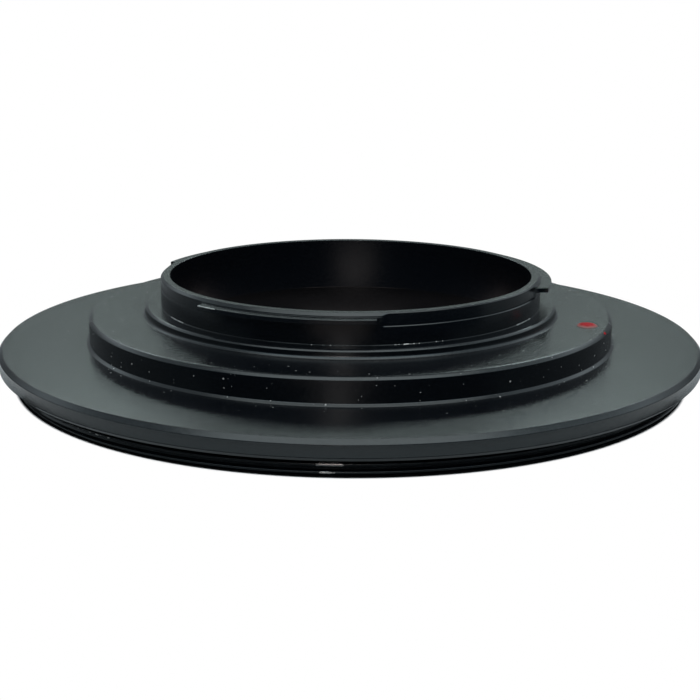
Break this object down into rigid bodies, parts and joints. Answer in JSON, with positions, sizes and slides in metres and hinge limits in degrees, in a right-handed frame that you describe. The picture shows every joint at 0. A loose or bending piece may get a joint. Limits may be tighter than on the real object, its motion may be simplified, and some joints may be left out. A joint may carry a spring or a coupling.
{
  "type": "macro reverse ring",
  "caption": "Flat stepped ring with a lens filter thread on one side and a camera bayonet collar on the other, for mounting a lens back to front.",
  "frame": {"origin": "on the ring's axis, in the end face of the filter thread", "axes": "+Z along the ring's axis from the thread towards the bayonet, +X through the red index dot"},
  "size_m": [0.08, 0.08, 0.0112],
  "materials": {
    "black_anodised": "black dyed anodising over fine turning, satin",
    "red_enamel": "red enamel paint fill, soft gloss"
  },
  "bodies": {
    "root": {"reverse_ring": "black_anodised", "index_dot": "red_enamel"}
  },
  "joints": []
}
